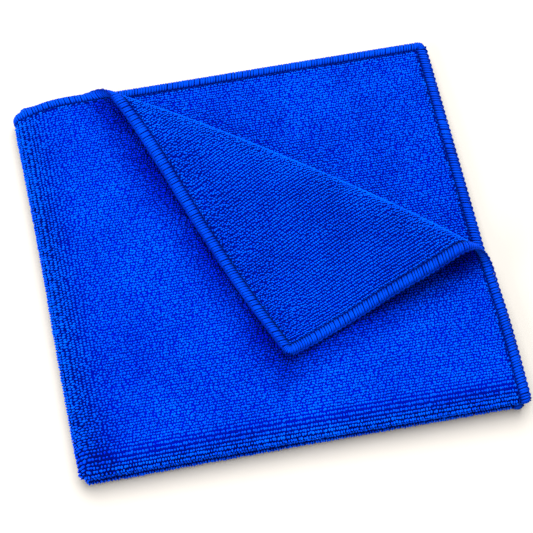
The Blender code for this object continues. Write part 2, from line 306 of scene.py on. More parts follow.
# %% Carry flat points through the folds
def fold_at_origin(u, v, offset):
    """A half circle round each fold, straight runs beside it, then the corner and the swell."""
    u, v = rounded_corners(u, v)
    turn = np.clip(v / PAIR_RADIUS, -pi / 2, pi / 2)
    run = np.maximum(np.abs(v) - pi / 2 * PAIR_RADIUS, 0.0)
    y = PAIR_MIDDLE - (PAIR_RADIUS + offset) * np.cos(turn) + run
    side = (PAIR_RADIUS + offset) * np.sin(turn)
    bend = np.clip(u / STACK_RADIUS, -pi / 2, pi / 2)
    reach = np.maximum(np.abs(u) - pi / 2 * STACK_RADIUS, 0.0)
    x = STACK_MIDDLE - (STACK_RADIUS + side) * np.cos(bend) + reach
    z = STACK_MIDDLE + (STACK_RADIUS + side) * np.sin(bend)
    upper, outer = u > 0, v > 0
    short_x, short_y = shortfall(u, v)
    x = x - short_x * smooth((STACK_MIDDLE + reach) / FOLDED_WIDTH) ** 2
    y = y - short_y * smooth((PAIR_MIDDLE + run) / FOLDED_DEPTH) ** 2
    y = y + np.where(upper, 0.0, LOWER_PAIR_BACK) * smooth(reach / FOLDED_WIDTH)
    spread = smooth((x - SPREAD_START) / SPREAD_REACH)
    forward = SPREAD_NEAR * smooth(1 - 2 * y / FOLDED_DEPTH)
    backward = SPREAD_BACK * smooth(2 * y / FOLDED_DEPTH - 1)
    y = y + spread * (backward - forward)
    stiff = smooth(1 - (HALF_WIDTH - np.abs(u)) / RIM_BULGE_REACH)
    y = y - RIM_BULGE * stiff * np.exp(-((v / RIM_BULGE_WIDTH) ** 2))
    bow = LEFT_BOW * bell((y - LEFT_BOW_PLACE) / LEFT_BOW_REACH)
    x = x + bow * np.exp(-((u / LEFT_BOW_WIDTH) ** 2))
    from_back = HALF_DEPTH - np.abs(v)
    draw = EDGE_DRAW * np.exp(-((u / EDGE_DRAW_WIDTH) ** 2)) * np.where(outer, 1.0, INNER_DRAW)
    y = y - draw * smooth(1 - from_back / EDGE_DRAW_REACH)
    draw = FOLD_DRAW * np.exp(-((u / FOLD_DRAW_WIDTH) ** 2))
    x = x + draw * smooth(1 - from_back / FOLD_DRAW_REACH)
    points = np.stack([x, y, z], -1)
    top = upper & outer & (reach > 0) & (run > 0)
    if top.any():
        placed, turned = fan.place(x[top], y[top], offset[top])
        points[top] = np.where(turned[:, None], placed, points[top])
    return unevenness(points)


# %% [markdown]
# The solid has its middle over the origin, and the fold function has its corner there. The
# difference is measured once, on the same rim that the solid has, and `fold` adds it.


# %% Set the folds on the solid
def from_cut_edge(u, v):
    return np.minimum(HALF_WIDTH - np.abs(u), HALF_DEPTH - np.abs(v))


def cad_half(u, v):
    """Half the solid's thickness: the rim's section, read by the distance from the cut edge."""
    return np.interp(from_cut_edge(u, v), RIM_PLACES, RIM_HALVES)


PROBES = 700
probe_lines = [np.linspace(-half, half, PROBES) for half in (HALF_WIDTH, HALF_DEPTH)]
probe_u, probe_v = (a.ravel() for a in np.meshgrid(*probe_lines))
probe = fold_at_origin(probe_u, probe_v, cad_half(probe_u, probe_v))
shift = (np.array(cad_low) + np.array(cad_high)) / 2 - (probe.min(0) + probe.max(0)) / 2
shift[2] = 0.0


def fold(u, v, offset):
    """Folded places of flat points given as arrays of any one shape, with x, y, z last."""
    u, v, offset = np.broadcast_arrays(u, v, offset)
    points = fold_at_origin(u.ravel(), v.ravel(), offset.ravel()) + shift
    return points.reshape(*u.shape, 3)


# %% Where a point lies in its layer and beside the turned corner
def on_layer(u, v):
    """Where a flat point lies in its folded layer, seen from above, before the corner turns."""
    return np.abs(u) - (HALF_WIDTH - FOLDED_WIDTH), np.abs(v) - (HALF_DEPTH - FOLDED_DEPTH)


def under_flap(x, y):
    """How far inside the flap's outline a point of the layer below it lies, in metres."""
    tip = fold_at_origin(np.array([HALF_WIDTH]), np.array([HALF_DEPTH]), np.array([0.0]))[0, :2]
    inset = np.full(x.shape, 1.0)
    for start, end in ((fan.left, tip), (tip, fan.right), (fan.right, fan.left)):
        run = (end - start) / hypot(*(end - start))
        inset = np.minimum(inset, (y - start[1]) * run[0] - (x - start[0]) * run[1])
    return inset


FLAP_SHADE_REACH = 0.0180     # the pile has the flap's painted shadow this far from it


def flap_shadow(u, v):
    """The flap's painted shadow: 1 under the turned corner, falling to 0 at a short way outside
    its outline.
    """
    return smooth(1 + under_flap(*on_layer(u, v)) / FLAP_SHADE_REACH)


# %% [markdown]
# ## The camera
# A long lens looks down from the front left, a little turned. Its place is found from the
# four corners of the folded cloth in the picture, and it is set before anything else, so
# that each new piece can be looked at in its final view.

# %% Camera
AIM = Vector((0.10142, 0.08830, 0.0)) + Vector(shift)
AZIMUTH = -0.353
ELEVATION = 1.133
ROLL = 0.153
DISTANCE = 0.885
FOCAL_WIDTHS = 3.638      # focal length in widths of the picture
SENSOR_MM = 36.0

back = Vector((sin(AZIMUTH) * cos(ELEVATION), -cos(AZIMUTH) * cos(ELEVATION), sin(ELEVATION)))
level = Vector((0, 0, 1)).cross(back).normalized()
upright = back.cross(level)
right = level * cos(ROLL) + upright * sin(ROLL)
up = upright * cos(ROLL) - level * sin(ROLL)
camera = bpy.data.objects.new("camera", bpy.data.cameras.new("camera"))
camera.data.sensor_width = SENSOR_MM
camera.data.lens = FOCAL_WIDTHS * SENSOR_MM
camera.data.clip_start = 0.05
turned = Matrix((right, up, back)).transposed().to_4x4()
camera.matrix_world = Matrix.Translation(AIM + back * DISTANCE) @ turned
bpy.context.scene.collection.objects.link(camera)
bpy.context.scene.camera = camera
print("camera at", [round(c, 3) for c in camera.location], "lens", round(camera.data.lens), "mm")

# %% [markdown]
# ## From arrays to a mesh
# Most pieces here are one small shape repeated thousands of times. Its corners are worked out
# for all copies at once, as an array of copies by corners by three, and the faces are the
# faces of one copy, counted on. Written with `foreach_set`, a mesh of a hundred thousand
# faces takes a moment.


# %% A mesh from arrays of points and faces
triangle_counts = []


def new_piece(name, points, faces, tone, uv):
    """faces is a list of arrays, one for each number of corners. tone is a value from 0 to 1 at
    each point, mostly painted shade and highlight with some tone that differs at random, and uv
    a place in metres at each point, carried to the faces' corners."""
    mesh = bpy.data.meshes.new(name)
    corners = np.concatenate([f.ravel() for f in faces])
    sizes = np.concatenate([np.full(len(f), f.shape[1]) for f in faces])
    starts = np.cumsum(sizes) - sizes
    mesh.vertices.add(len(points))
    mesh.vertices.foreach_set("co", points.astype(np.float32).ravel())
    mesh.loops.add(len(corners))
    mesh.loops.foreach_set("vertex_index", corners.astype(np.int32))
    mesh.polygons.add(len(sizes))
    mesh.polygons.foreach_set("loop_start", starts.astype(np.int32))
    mesh.update(calc_edges=True)
    mesh.shade_smooth()
    layer = mesh.attributes.new("tone", "FLOAT", "POINT")
    layer.data.foreach_set("value", tone.astype(np.float32))
    layer = mesh.uv_layers.new(name="flat")
    layer.uv.foreach_set("vector", uv[corners].astype(np.float32).ravel())
    piece = bpy.data.objects.new(name, mesh)
    bpy.context.scene.collection.objects.link(piece)
    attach(piece, "root")
    triangles = int((sizes - 2).sum())
    triangle_counts.append(triangles)
    print(f"{name}: {len(points)} points, {triangles} triangles")
    return piece


def copies(shape_faces, count, points_each):
    """The faces of one shape, counted on for each of its copies."""
    steps = np.arange(count)[:, None, None] * points_each
    return [(table + steps).reshape(-1, table.shape[1]) for table in shape_faces]


# %% [markdown]
# ## The ground sheet
# Under the loops lies a knitted ground. It is a thin closed sheet: an outer and an inner
# face that share the cut edge. The lines of its grid lie closest where it bends and on the
# top layer, whose corner is turned, and further apart in the layers that nobody sees.

# %% Sizes of the ground
GROUND_HALF = 0.00055         # half thickness of the knitted ground
# painted shade: the ground is darker beside the folds, under the threads, on the inner face, and
# most on the turned corner's face
SHADED_LEFT = 0.024           # the ground is darker this far from the left fold
SHADED_NEAR = 0.016           # and from the near one
SHADED_INNER = 0.80           # share of its tone on the inner face
SHADED_FLAP = 0.35            # and on the turned corner
GROOVE = 0.0046               # painted shade: it is darkest from the edge to here, under the threads,
PILE_START = 0.0060           # and has its full tone from here, among the loops
FLAP_SHADE = 0.92             # share of its tone lost to the painted shadow under and beside the turned corner
THREAD_ROOM = 0.00032         # the rim under the threads is thinner than the solid by this
LEAST_HALF = 0.00015
TOP_SPACING = 0.0026
HIDDEN_SPACING = 0.0060
ROLL_LINES = 12
ON_EDGE = 1e-7


def grid_lines(half, radius):
    """Places of the grid's lines: close round the fold and on the top layer's side."""
    roll = radius * np.linspace(-pi / 2, pi / 2, ROLL_LINES + 1)
    rim = half - RIM_PLACES[::-1]
    top, hidden = (
        np.linspace(roll[-1], rim[0], round((rim[0] - roll[-1]) / spacing))[1:-1]
        for spacing in (TOP_SPACING, HIDDEN_SPACING)
    )
    return np.concatenate([-rim[::-1], -hidden[::-1], roll, top, rim])


def pressed(u, v, offset):
    """Thick threads and the rim are pressed to the fabric's thickness inside the folds."""
    share = np.maximum(np.exp(-((u / RIM_PRESSED) ** 2)), np.exp(-((v / RIM_PRESSED) ** 2)))
    inside = (offset < 0) | (v < 0)
    extra = np.maximum(np.abs(offset) - THICKNESS / 2, 0.0) * share * inside
    return np.sign(offset) * (np.abs(offset) - extra)


# %% Ground sheet
def ground_sheet():
    """Both faces are fold(u, v, +-half), with half the ground's or the rim's own thickness."""
    us, vs = grid_lines(HALF_WIDTH, STACK_RADIUS), grid_lines(HALF_DEPTH, PAIR_RADIUS)
    u, v = (a.ravel() for a in np.meshgrid(us, vs, indexing="ij"))
    inset = from_cut_edge(u, v)
    half = np.where(inset < RIM_PLACES[-2], cad_half(u, v) - THREAD_ROOM, GROUND_HALF)
    half = np.maximum(half, LEAST_HALF)
    edge = inset < ON_EDGE
    half[edge] = 0.0
    outer = fold(u, v, pressed(u, v, half))
    inner = fold(u, v, pressed(u, v, -half))
    index = np.arange(len(u)).reshape(len(us), len(vs))
    quads = np.stack([index[:-1, :-1], index[1:, :-1], index[1:, 1:], index[:-1, 1:]], -1)
    quads = quads.reshape(-1, 4)
    inner_index = np.where(edge, np.arange(len(u)), 0)
    inner_index[~edge] = len(u) + np.arange((~edge).sum())
    points = np.concatenate([outer, inner[~edge]])
    flat = np.stack([u, v], -1)
    uv = np.concatenate([flat, flat[~edge]])
    # painted shade beside the folds, in the groove, on the inner face and most on the turned
    # corner's face, and the turned corner's painted shadow
    tone = smooth(np.abs(u) / SHADED_LEFT) * smooth(np.abs(v) / SHADED_NEAR)
    tone = tone * smooth((inset - GROOVE) / (PILE_START - GROOVE))
    on_top = (u > 0) & (v > 0)
    inner_tone = tone * np.where(on_top, SHADED_FLAP, SHADED_INNER)
    tone = tone * (1 - FLAP_SHADE * on_top * flap_shadow(u, v))
    tone = np.concatenate([tone, inner_tone[~edge]])
    return new_piece("cloth_sheet", points, [quads, inner_index[quads][:, ::-1]], tone, uv)


sheet = ground_sheet()

# %% [markdown]
# ## The loops
# Microfibre terry is covered with short loops of soft split yarn, little more than a
# millimetre apart. From the distance of the picture each one is a bright bead with a dark gap
# beside it, and beside a fold the gaps line up into rows, because there the rows are pulled
# apart. Bump alone would not open those gaps, so each loop is a real bean of yarn: two rings
# of four points and a pole at each end, sixteen triangles.
#
# The loops are laid on the flat pattern, in rows that stand further apart beside the folds,
# moved a little at random, and carried through the folds with the sheet.

# %% One bean of yarn
RING_POINTS = 4
END_POWER = 0.5               # below 1, so the bean stays full towards its ends
END_DROP = 0.3                # its two poles lie this share of its radius below the middle


def tube_faces(around, stations):
    """Faces of a tube of rings with a pole at each end; the poles are points 0 and 1."""
    start = 2 + around * np.arange(stations)[:, None] + np.arange(around)
    after = np.roll(start, -1, axis=1)
    sides = np.stack([start[:-1], start[1:], after[1:], after[:-1]], -1).reshape(-1, 4)
    zero = np.zeros(around, int)
    first = np.stack([zero, start[0], after[0]], -1)
    last = np.stack([zero + 1, after[-1], start[-1]], -1)
    return sides, np.concatenate([first, last])


def bean_faces(rings):
    """The faces of a tube the other way round, as a bean's rings turn the other way."""
    return [np.roll(f[:, ::-1], 1, axis=1) for f in tube_faces(RING_POINTS, rings)]


def beans(length, rise, radius, bow, rings):
    """Points (copies, corners, 3) of beans along their own axis: place along it, to the side
    and up. The middle line rises as a sine, and bows to the side as one. Rings lie at even
    shares of the length, and their radius falls to the ends as the root of a sine."""
    share = ((np.arange(rings) + 1) / (rings + 1))[:, None]
    turn = 2 * pi * np.arange(RING_POINTS) / RING_POINTS
    arch = np.sin(pi * share)
    length, rise, radius, bow = (sizes[:, None, None] for sizes in (length, rise, radius, bow))
    full = radius * arch**END_POWER
    along = (share - 0.5) * length + 0 * turn
    across = bow * arch + full * np.sin(turn)
    above = rise * arch + full * np.cos(turn)
    body = np.stack([along, across, above], -1).reshape(len(length), -1, 3)
    ends = np.zeros((len(length), 2, 3))
    ends[:, :, 0] = length[:, 0] * (-0.5, 0.5)
    ends[:, :, 2] = -END_DROP * radius[:, 0]
    return np.concatenate([ends, body], 1)


# %% Lay beans on the cloth
def lay(name, u, v, side, yaw, lift, shape, tone, rings=2):
    """side is 1 on the outer face and -1 on the inner one, yaw the direction of each bean,
    and lift how far their middle lines lie off the middle of the fabric. On the inner face
    the beans are mirrored, so that their faces still point outwards."""
    local = beans(*shape, rings)
    along, across, above = np.moveaxis(local, -1, 0)
    across = across * side
    du = along * np.cos(yaw)[:, None] - across * np.sin(yaw)[:, None]
    dv = along * np.sin(yaw)[:, None] + across * np.cos(yaw)[:, None]
    flat_u, flat_v = u[:, None] + du, v[:, None] + dv
    offset = side * (lift + above)
    points = fold(flat_u, flat_v, offset).reshape(-1, 3)
    faces = copies(bean_faces(rings), len(u), local.shape[1])
    # painted shade: each bean is darker towards its foot
    height = (above - above.min(1, keepdims=True)) / np.ptp(above, axis=1)[:, None]
    tone = np.clip(height * tone[:, None], 0.0, 1.0).ravel()
    uv = np.stack([flat_u, flat_v], -1).reshape(-1, 2)
    return new_piece(name, points, faces, tone, uv)


# %% The pattern of loops, and which of them can be seen
COURSE_PITCH = 0.00125        # from row to row, along v
WALE_PITCH = 0.00118          # from loop to loop in a row, along u
PILE_INSET = 0.0050           # the loops start this far from the cut edge
ROUND_NEAR = -pi / 2 * PAIR_RADIUS - COURSE_PITCH   # and go on round the near fold to here
LOOP_LENGTH = 0.00118
LOOP_RADIUS = 0.00054
LOOP_RISE = 0.00026
LOOP_TURN_SPREAD = 0.32
OPENED_NEAR = (0.75, 0.0075, 0.0070)    # beside a fold the rows are pulled apart: by what
OPENED_LEFT = (0.42, 0.0110, 0.0100)    # share, where, and how far to each side
LEFT_ORDER = 0.026            # beside the left fold the loops stand in ribs along it
FOLD_SHADE = 0.35                 # and painted shade beside the folds, where less light reaches their sides
STRETCH = 0.60                # the loops themselves widen by this power of that
LOOSE = (0.18, 0.10)          # how far a loop strays along u and v, in pitches
FOLD_ORDER = 0.020            # it strays less over this stretch beside a fold
LEAST_STRAY = 0.45            # by this share at the fold
LOOP_VARIATION = 0.20         # the sizes of a loop differ by this share,
VARIATION_ENDS = (0.5, 1.5)   # within these shares
LOOP_BOW = 0.00010
LEAN_SHADE = 0.55                # painted shade: some loops are darker by up to this share, as if they leaned away from the light
LEAN_LAW = (1.4, 3.2)         # the chance of that: few lean far
ROW_SAMPLES = 4000
UNDER_FLAP = 0.013            # the loops go on this far under the flap and the crest
ARCH_REACH = 0.040            # and this far into the arch at the right
LEFT_END_REACH = 0.030        # and into its left end
random = np.random.default_rng(11)


def opening(x, opened):
    """How many times wider than elsewhere the rows stand at x."""
    share, place, reach = opened
    return 1 + share * bell((np.abs(x) - place) / reach)


def rows(low, high, pitch, opened):
    """Places from low to high whose spacing is pitch, and wider beside the fold: the k-th one
    is where the integral of 1 / spacing reaches k."""
    fine = np.linspace(low, high, ROW_SAMPLES)
    spacing = pitch * opening(fine, opened)
    count = np.concatenate([[0.0], np.cumsum(np.diff(fine) / spacing[1:])])
    return np.interp(np.arange(int(count[-1])) + 0.5, count, fine)


def pattern(low_u, high_u, low_v, high_v, pitch_u, pitch_v, loose=LOOSE, ribs=0.0):
    """Loops in rows along u, every second row moved by half a pitch, and each loop strays by
    chance. Where ribs is 1, and beside the left fold, they form ribs along v instead."""
    us = rows(low_u, high_u, pitch_u, OPENED_LEFT)
    vs = rows(low_v, high_v, pitch_v, OPENED_NEAR)
    u, v = np.meshgrid(us, vs, indexing="ij")
    beside_left = smooth(1 - np.abs(u) / LEFT_ORDER) * smooth(np.abs(v) / LEFT_ORDER - 0.5)
    ribbed = np.maximum(ribs, beside_left)
    u = u + (np.arange(len(vs)) % 2) * pitch_u / 2 * (1 - ribbed)
    v = v + (np.arange(len(us))[:, None] % 2) * pitch_v / 2 * ribbed
    far = smooth(np.minimum(np.abs(u), np.abs(v)) / FOLD_ORDER)
    stray = LEAST_STRAY + (1 - LEAST_STRAY) * far
    u = u + random.normal(0, loose[0], u.shape) * pitch_u * stray
    v = v + random.normal(0, loose[1], u.shape) * pitch_v * stray
    inside = from_cut_edge(u, v) > PILE_INSET
    return u[inside], v[inside]


# %% Loops of the top layer's outer face
def loop_shapes(count, length=LOOP_LENGTH, radius=LOOP_RADIUS, variation=LOOP_VARIATION):
    """Length, rise, radius and bow of the loops, each with its own chance variation."""
    chance = random.normal(1.0, variation, (3, count)).clip(*VARIATION_ENDS)
    bow = random.normal(0.0, LOOP_BOW, count)
    return [length * chance[0], LOOP_RISE * chance[1], radius * chance[2], bow]


def loop_tones(count):
    """Most loops are bright, and some, at random, have painted shade as if they leaned away from
    the light.
    """
    return 1.0 - LEAN_SHADE * random.beta(*LEAN_LAW, count)


def outer_loops(names, u, v, **sizes):
    """Loops stand across their rows, so their yaw is a quarter turn, more or less. They are
    painted darker beside the folds, where they stand apart and less light reaches their sides,
    and beside the flap, as its painted shadow."""
    count = len(u)
    order = opening(v, OPENED_NEAR) * opening(u, OPENED_LEFT)
    yaw = pi / 2 + random.normal(0.0, LOOP_TURN_SPREAD, count) / order
    shapes = loop_shapes(count, **sizes)
    # painted shade beside the folds, and the flap's painted shadow
    tones = loop_tones(count) * (1 - FOLD_SHADE * (order - 1))
    tones *= 1 - FLAP_SHADE * ((u > 0) & (v > 0)) * flap_shadow(u, v)
    shapes[0] = shapes[0] * opening(v, OPENED_NEAR) ** STRETCH
    shapes[1] = shapes[1] / order
    shapes[2] = shapes[2] * opening(u, OPENED_LEFT) ** STRETCH
    bounds = np.linspace(0, count, len(names) + 1).astype(int)
    for name, low, high in zip(names, bounds, bounds[1:]):
        part = slice(low, high)
        shape = [s[part] for s in shapes]
        yield lay(name, u[part], v[part], 1, yaw[part], GROUND_HALF, shape, tones[part])


def top_loops():
    u, v = pattern(0.0, HALF_WIDTH, ROUND_NEAR, HALF_DEPTH, WALE_PITCH, COURSE_PITCH)
    x, y = on_layer(u, v)
    along, _, angle = fan.polar(x, y)
    turned_over = angle > 0.0
    arch = along - fan.near > fan.length - ARCH_REACH
    shown = np.where(turned_over, arch, (under_flap(x, y) < UNDER_FLAP) | arch)
    # inside the loop of the fold the layer's own outer face can't be seen, but at its ends
    left_end = along - fan.near < LEFT_END_REACH
    shown &= (angle < fan.start) | arch | left_end | (v < 0)
    return list(outer_loops(("loops_left", "loops_right"), u[shown], v[shown]))


pile = top_loops()

# %% [markdown]
# The turned corner shows the cloth's other face, where the loops stand in clear ribs that run
# with the sheet's right edge. Along a rib the beans lie end to end, each leaning a little to
# one side, so a rib reads as a cord with a dark line beside it. The second layer's upper face
# is this same face, but its loops have been rubbed out of line.


# %% Loops of the inner face: the flap and the second layer
RIB_PITCH = 0.00132
RIB_STEP = 0.00104
RIB_LENGTH = 0.00128
RIB_RADIUS = 0.00038
RIB_LEAN = radians(26)
RIB_TURN_SPREAD = 0.16
RIB_STRAY = (0.05, 0.10)      # a rib's loops stray less than others, in pitches,
RIB_VARIATION = 0.10          # and are more alike
RIB_TONE = 0.88               # they lean, so a little less of them is lit
LOOSE_EDGE = 0.035            # the ribs are less clear over this stretch beside the back edge
LOOSE_CREST = 0.024           # and beside the crest, which also has a painted highlight
LOOSE_SHARE = 0.20            # by this share of their pitch
# the crest's painted highlight, added to the loops' tone
CREST_HIGHLIGHT = 0.40
CORNER_U = HALF_WIDTH - FOLDED_WIDTH + CREST_LEFT / 2
CORNER_V = 0.060              # the turned corner lies within u > CORNER_U and v > CORNER_V


def flap_loops():
    sides = (CORNER_U, HALF_WIDTH, CORNER_V, HALF_DEPTH)
    u, v = pattern(*sides, RIB_PITCH, RIB_STEP, loose=RIB_STRAY, ribs=1.0)
    _, out, angle = fan.polar(*on_layer(u, v))
    crest = smooth(1 - out / LOOSE_CREST)
    loose = np.maximum(smooth(1 - (HALF_DEPTH - v) / LOOSE_EDGE), crest)
    u = u + random.normal(0.0, 1.0, len(u)) * loose * LOOSE_SHARE * RIB_PITCH
    shown = angle > fan.start
    u, v, crest = u[shown], v[shown], crest[shown]
    count = len(u)
    yaw = pi / 2 + RIB_LEAN + random.normal(0.0, RIB_TURN_SPREAD, count)
    shape = loop_shapes(count, RIB_LENGTH, RIB_RADIUS, RIB_VARIATION)
    # painted shade of the leaning ribs, and a painted highlight along the crest
    tones = RIB_TONE * loop_tones(count) + CREST_HIGHLIGHT * crest
    return lay("loops_flap", u, v, -1, yaw, GROUND_HALF, shape, tones)


def second_loops():
    u, v = pattern(CORNER_U, HALF_WIDTH, -HALF_DEPTH, -CORNER_V, WALE_PITCH, COURSE_PITCH)
    _, out, angle = fan.polar(*on_layer(u, v))
    shown = (out > -UNDER_FLAP) & (angle > 2 * fan.start)
    u, v = u[shown], v[shown]
    count = len(u)
    yaw = pi / 2 + random.normal(0.0, LOOP_TURN_SPREAD, count)
    shape = loop_shapes(count)
    return lay("loops_second", u, v, -1, yaw, GROUND_HALF, shape, loop_tones(count))


pile += [flap_loops(), second_loops()]

# %% [markdown]
# Underneath, the same outer face lies flat on the table. It is seen only when the cloth is
# picked up, so its loops are larger and fewer, but for the two folded edges, where the lower
# layers show beside the upper ones.


# %% Loops of the lower layers
UNDER_PITCH = 0.0023
UNDER_SCALE = 1.75
EDGE_STRIP = 0.007            # of the lower layers, beside the folds, with fine loops


def lower_loops():
    u, v = pattern(-HALF_WIDTH, 0.0, ROUND_NEAR, HALF_DEPTH, WALE_PITCH, COURSE_PITCH)
    shown = (v < EDGE_STRIP) | (u > -EDGE_STRIP)
    return list(outer_loops(("loops_low_edge",), u[shown], v[shown]))


def under_loops():
    u, v = pattern(-HALF_WIDTH, -EDGE_STRIP, EDGE_STRIP, HALF_DEPTH, UNDER_PITCH, UNDER_PITCH)
    sizes = {"length": LOOP_LENGTH * UNDER_SCALE, "radius": LOOP_RADIUS * UNDER_SCALE}
    return list(outer_loops(("loops_under",), u, v, **sizes))


pile += [*lower_loops(), *under_loops()]

# %% [markdown]
# ## The overlocked rim
# An overlock machine wraps soft, bulky thread round the cut edge. From every needle hole two
# strands run out to the edge and spread a little; both go round the edge and come back to the
# same hole on the other face. So each face shows a row of plump strands, closer together at
# the needle holes than at the edge. Outside it runs a chain where the two loopers' threads
# cross, and inside it the needle's own thread, in short dashes.
#
# A strand is a tube with a rounded, flattened section. Its middle line is the rim's section,
# and the stitches are spaced by real length along the folded edge, because the edge is drawn
# out round the folds.

# %% Sizes of the stitches
STITCH_PITCH = 0.0026
NEEDLE_LINE = 0.0043          # from the cut edge
STRANDS = (
    # lean at the edge in pitches, lean at the needle line in pitches, share of the thickness
    (0.60, 0.20, 1.00),
    (0.12, -0.24, 0.96),
)
STRAND_STATIONS = (
    # length from the edge, half width in pitches, thickness, tone: painted shade, darkest at
    # both ends
    (0.0000, 0.262, 0.00036, 0.40),
    (0.0007, 0.262, 0.00040, 0.62),
    (0.0017, 0.250, 0.00042, 0.92),
    (0.0028, 0.238, 0.00040, 1.00),
    (0.0039, 0.215, 0.00034, 0.72),
    (0.0048, 0.130, 0.00018, 0.25),
)
LENGTHS, HALF_WIDTHS, THICKNESSES, STRAND_SHADE = np.array(STRAND_STATIONS).T
LOBES = (
    # along the edge, up
    (-1.00, -0.55),
    (-0.66, 0.50),
    (0.00, 0.85),
    (0.66, 0.50),
    (1.00, -0.55),
    (0.00, -0.80),
)
LOBE_ALONG, LOBE_UP = np.array(LOBES).T
SIDES = {
    # side: inwards in u and in v
    "right": (-1, 0),
    "back": (0, -1),
    "left": (1, 0),
    "front": (0, 1),
}


def edge_to_flat(side, a, b):
    """a runs along the side and b in from it, as x and y of a frame that is turned a quarter
    for each side, so that (a, b, offset) stays right-handed."""
    in_u, in_v = SIDES[side]
    half = HALF_WIDTH if in_u else HALF_DEPTH
    return -in_u * half + in_v * a + in_u * b, -in_v * half - in_u * a + in_v * b


EDGE_SAMPLES = 3000


def even_places(side, short):
    """Places along a side, one for each stitch, at an even real pitch, and the flat length of
    one real metre there. The places stop short of the corners."""
    half = (HALF_DEPTH if SIDES[side][0] else HALF_WIDTH) - short
    a = np.linspace(-half, half, EDGE_SAMPLES)
    u, v = edge_to_flat(side, a, np.full(a.shape, NEEDLE_LINE / 2))
    outward = np.where(v > 0, THICKNESS / 2, 0.0)
    line = fold(u, v, outward)
    steps = np.linalg.norm(np.diff(line, axis=0), axis=1)
    length = np.concatenate([[0.0], np.cumsum(steps)])
    count = round(length[-1] / STITCH_PITCH)
    places = np.interp((np.arange(count) + 0.5) / count * length[-1], length, a)
    stretch = np.interp(places, (a[1:] + a[:-1]) / 2, steps / np.diff(a))
    return places, 1 / stretch


# %% Strands of thread round the rim
BEFORE_GROOVE = 6             # rows of the rim's section that the strands follow
WIDTH_CHANCE = 0.06           # a strand's width, sway in pitches and thickness vary by these
SWAY_CHANCE = 0.03
THICKNESS_CHANCE = 0.12


def both_faces(values, sign=1):
    """Values given from the edge inwards, run through from one face to the other."""
    values = np.asarray(values)
    return np.concatenate([values[:0:-1], sign * values])


def rim_path(height):
    """Distance in from the edge and offset of points (stations, ring points) that stand height
    above the rim's section, from the outer face's needle line to the inner one's."""
    inset, half = RIM_PLACES[:BEFORE_GROOVE], RIM_HALVES[:BEFORE_GROOVE] - THREAD_ROOM / 2
    half[0] = 0.0
    length = np.concatenate([[0.0], np.cumsum(np.hypot(np.diff(inset), np.diff(half)))])
    beyond = np.maximum(LENGTHS - length[-1], 0.0)
    b = both_faces(np.interp(LENGTHS, length, inset) + beyond)
    o = both_faces(np.interp(LENGTHS, length, half), -1)
    run_b, run_o = np.gradient(b), np.gradient(o)
    size = np.hypot(run_b, run_o)
    out_b, out_o = run_o / size, -run_b / size
    return b[:, None] + out_b[:, None] * height, o[:, None] + out_o[:, None] * height


def tubes(a, b, o):
    """Closed tubes from rings (copies, stations, ring points) with a pole at each end."""
    rings = np.stack(np.broadcast_arrays(a, b, o), -1)
    ends = rings[:, [0, -1]].mean(2)
    return np.concatenate([ends, rings.reshape(len(rings), -1, 3)], 1)


def strands(side, edge_lean, needle_lean, thick_share):
    """One strand for every stitch of a side, as (a, b, offset) of its tube's corners."""
    half_width = both_faces(HALF_WIDTHS) * STITCH_PITCH
    outwards = both_faces(1 - LENGTHS / LENGTHS[-1])
    lean = (needle_lean + (edge_lean - needle_lean) * outwards) * STITCH_PITCH
    places, shrink = even_places(side, NEEDLE_LINE)
    chance = random.normal(0.0, 1.0, (3, len(places), 1, 1))
    wide = (1 + WIDTH_CHANCE * chance[0]) * half_width[:, None] * LOBE_ALONG
    sway = SWAY_CHANCE * STITCH_PITCH * chance[1] + lean[:, None]
    thick = thick_share * (1 + THICKNESS_CHANCE * chance[2]) * both_faces(THICKNESSES)[:, None]
    a = places[:, None, None] + (wide + sway) * shrink[:, None, None]
    return tubes(a, *rim_path(thick * LOBE_UP))


# %% Strands round the four corners
CORNER_STRANDS = 7
CORNER_FULLNESS = 1.15        # they are this much thicker and wider than their share
CORNER_SQUARENESS = 0.55      # 0 for a round corner, 1 for a square one
CORNER_MIDDLE = 0.0006        # they end this far from the crossing of the needle lines


def corner_strands():
    """A fan of strands round each cut corner, from the crossing of the two needle lines. The
    corner's outline is R(angle) = NEEDLE_LINE / max(cos, sin) ** squareness."""
    angle = (np.arange(CORNER_STRANDS) + 0.5) / CORNER_STRANDS * pi / 2
    outline = NEEDLE_LINE / np.maximum(np.cos(angle), np.sin(angle)) ** CORNER_SQUARENESS
    inset, offset = rim_path(CORNER_FULLNESS * both_faces(THICKNESSES)[:, None] * LOBE_UP)
    radius = outline[:, None, None] * (1 - inset / (NEEDLE_LINE + CORNER_MIDDLE))
    half_turn = pi / 4 / CORNER_STRANDS * CORNER_FULLNESS * LOBE_ALONG
    turn = angle[:, None, None] + half_turn
    centre = (HALF_WIDTH - NEEDLE_LINE, HALF_DEPTH - NEEDLE_LINE)
    made = []
    for sign_u, sign_v in ((1, 1), (-1, 1), (-1, -1), (1, -1)):
        # the turn is mirrored with each sign, so that the tube stays right-handed
        way = turn if sign_u * sign_v > 0 else pi / 2 - turn
        u = sign_u * (centre[0] + radius * np.cos(way))
        v = sign_v * (centre[1] + radius * np.sin(way))
        made.append(tubes(u, v, offset))
    return np.concatenate(made)


# %% All the strands as one mesh
THREAD_UV = (0.0100, 0.0040)  # a strand's place in its fibre pattern: along and around it
STRAND_LIGHT = (0.8, 1.0)     # and the share of its tone that it keeps, by chance


